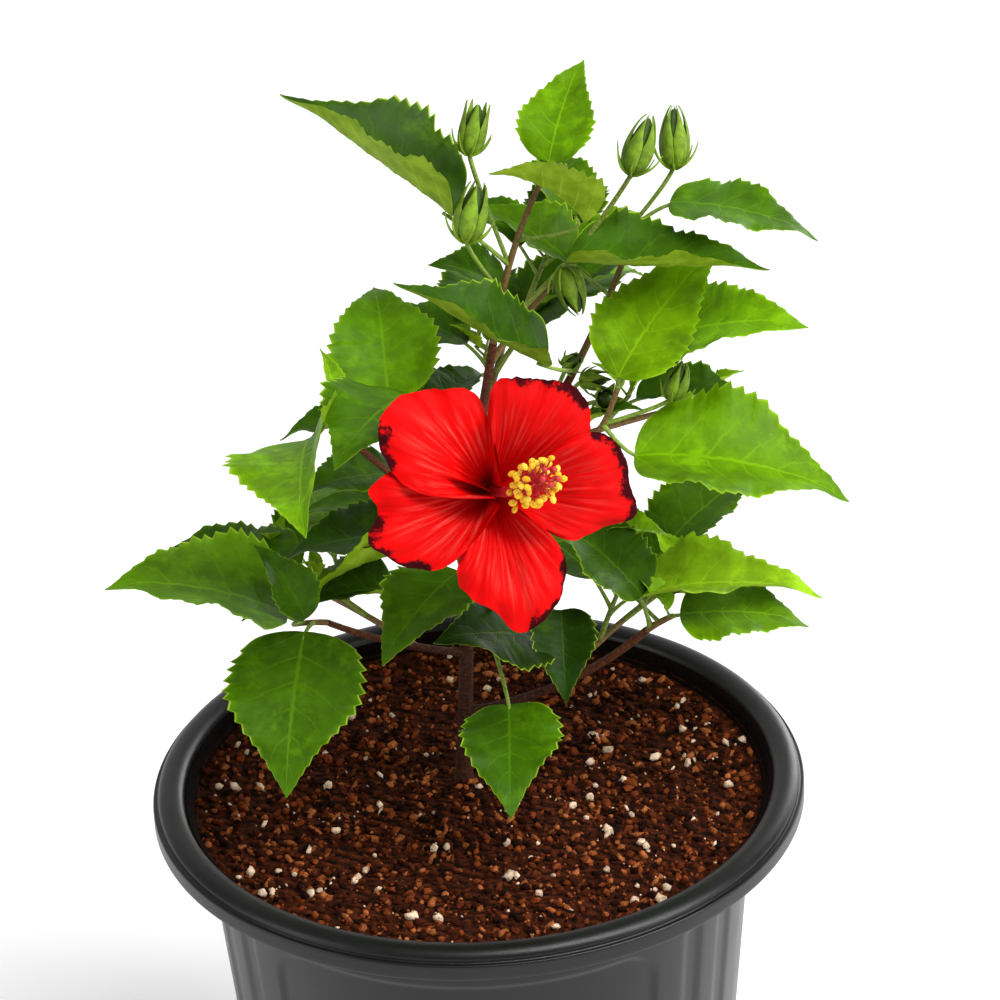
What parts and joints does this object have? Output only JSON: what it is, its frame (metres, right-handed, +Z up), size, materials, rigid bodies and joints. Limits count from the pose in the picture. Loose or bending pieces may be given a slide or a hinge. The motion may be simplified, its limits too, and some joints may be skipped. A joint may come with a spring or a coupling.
{
  "type": "potted hibiscus shrub",
  "caption": "Young hibiscus shrub with toothed leaves, buds and an open red bloom, standing in a round black nursery pot filled with potting mix.",
  "frame": {"origin": "centre of the pot's flat underside", "axes": "+Z up; the bloom faces -Y and a little +X; +X to the right when looking at the bloom"},
  "size_m": [0.2771, 0.2583, 0.4979],
  "materials": {
    "pot_plastic": "semi-gloss charcoal black",
    "potting_mix": "rough, crumbly",
    "bark": "matt bark",
    "leaf_green": "satin leaf",
    "petal_red": "soft petal"
  },
  "bodies": {
    "root": {"bloom": "petal_red", "bough_leader": "bark", "bough_low_left": "bark", "bough_low_right": "bark", "bough_right": "bark", "bough_upper_left": "bark", "foliage_back_crown": "leaf_green", "foliage_back_left": "leaf_green", "foliage_back_low": "leaf_green", "foliage_back_low_right": "leaf_green", "foliage_back_right": "leaf_green", "foliage_back_top": "leaf_green", "foliage_back_upper_left": "leaf_green", "foliage_centre_left": "leaf_green", "foliage_front": "leaf_green", "foliage_low_left": "leaf_green", "foliage_low_right": "leaf_green", "foliage_right": "leaf_green", "foliage_top": "leaf_green", "foliage_upper_left": "leaf_green", "foliage_upper_right": "leaf_green", "pot": "pot_plastic", "potting_mix": "potting_mix", "trunk": "bark"}
  },
  "joints": []
}
